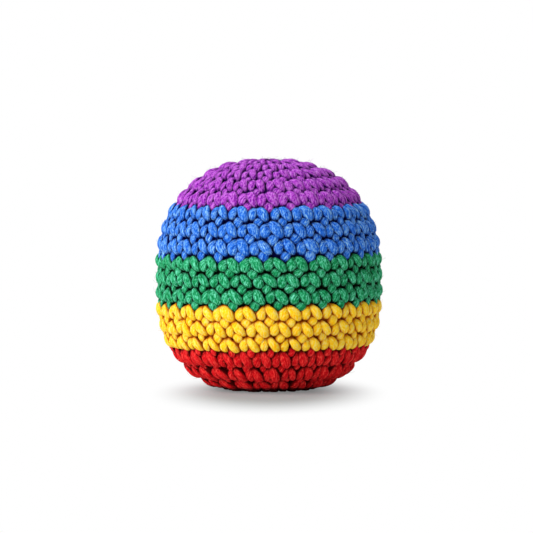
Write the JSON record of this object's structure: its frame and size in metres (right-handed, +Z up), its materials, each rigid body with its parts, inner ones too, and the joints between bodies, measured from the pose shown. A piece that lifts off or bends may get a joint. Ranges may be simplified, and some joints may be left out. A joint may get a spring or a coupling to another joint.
{
  "type": "footbag",
  "caption": "Soft round kick bag of yarn worked in rounds, in colour bands from crown to base, filled with plastic pellets held in a tied inner pouch.",
  "frame": {"origin": "middle of the flattened foot that the bag rests on, which is also the middle of the closed last round", "axes": "+Z up through the crown, where the first round starts; the colour changes are knotted on the +Y side, away from the pictured view"},
  "size_m": [0.055, 0.055, 0.0565],
  "materials": {
    "purple_yarn": "matte",
    "blue_yarn": "matte",
    "green_yarn": "matte",
    "yellow_yarn": "matte",
    "red_yarn": "matte",
    "liner_film": "satin",
    "tie_thread": "matte",
    "pellet_plastic": "satin"
  },
  "bodies": {
    "root": {"purple_crown": "purple_yarn", "blue_band": "blue_yarn", "green_band": "green_yarn", "yellow_band": "yellow_yarn", "red_base": "red_yarn", "purple_blue_knot": "blue_yarn", "blue_green_knot": "green_yarn", "green_yellow_knot": "yellow_yarn", "yellow_red_knot": "red_yarn", "closing_knot": "red_yarn", "start_tail": "purple_yarn", "liner_pouch": "liner_film", "liner_tie": "tie_thread", "pellet_bed": "pellet_plastic", "loose_pellet_01": "pellet_plastic", "loose_pellet_02": "pellet_plastic", "loose_pellet_03": "pellet_plastic", "loose_pellet_04": "pellet_plastic", "loose_pellet_05": "pellet_plastic", "loose_pellet_06": "pellet_plastic", "loose_pellet_07": "pellet_plastic", "loose_pellet_08": "pellet_plastic", "loose_pellet_09": "pellet_plastic", "loose_pellet_10": "pellet_plastic", "loose_pellet_11": "pellet_plastic", "loose_pellet_12": "pellet_plastic"}
  },
  "joints": []
}
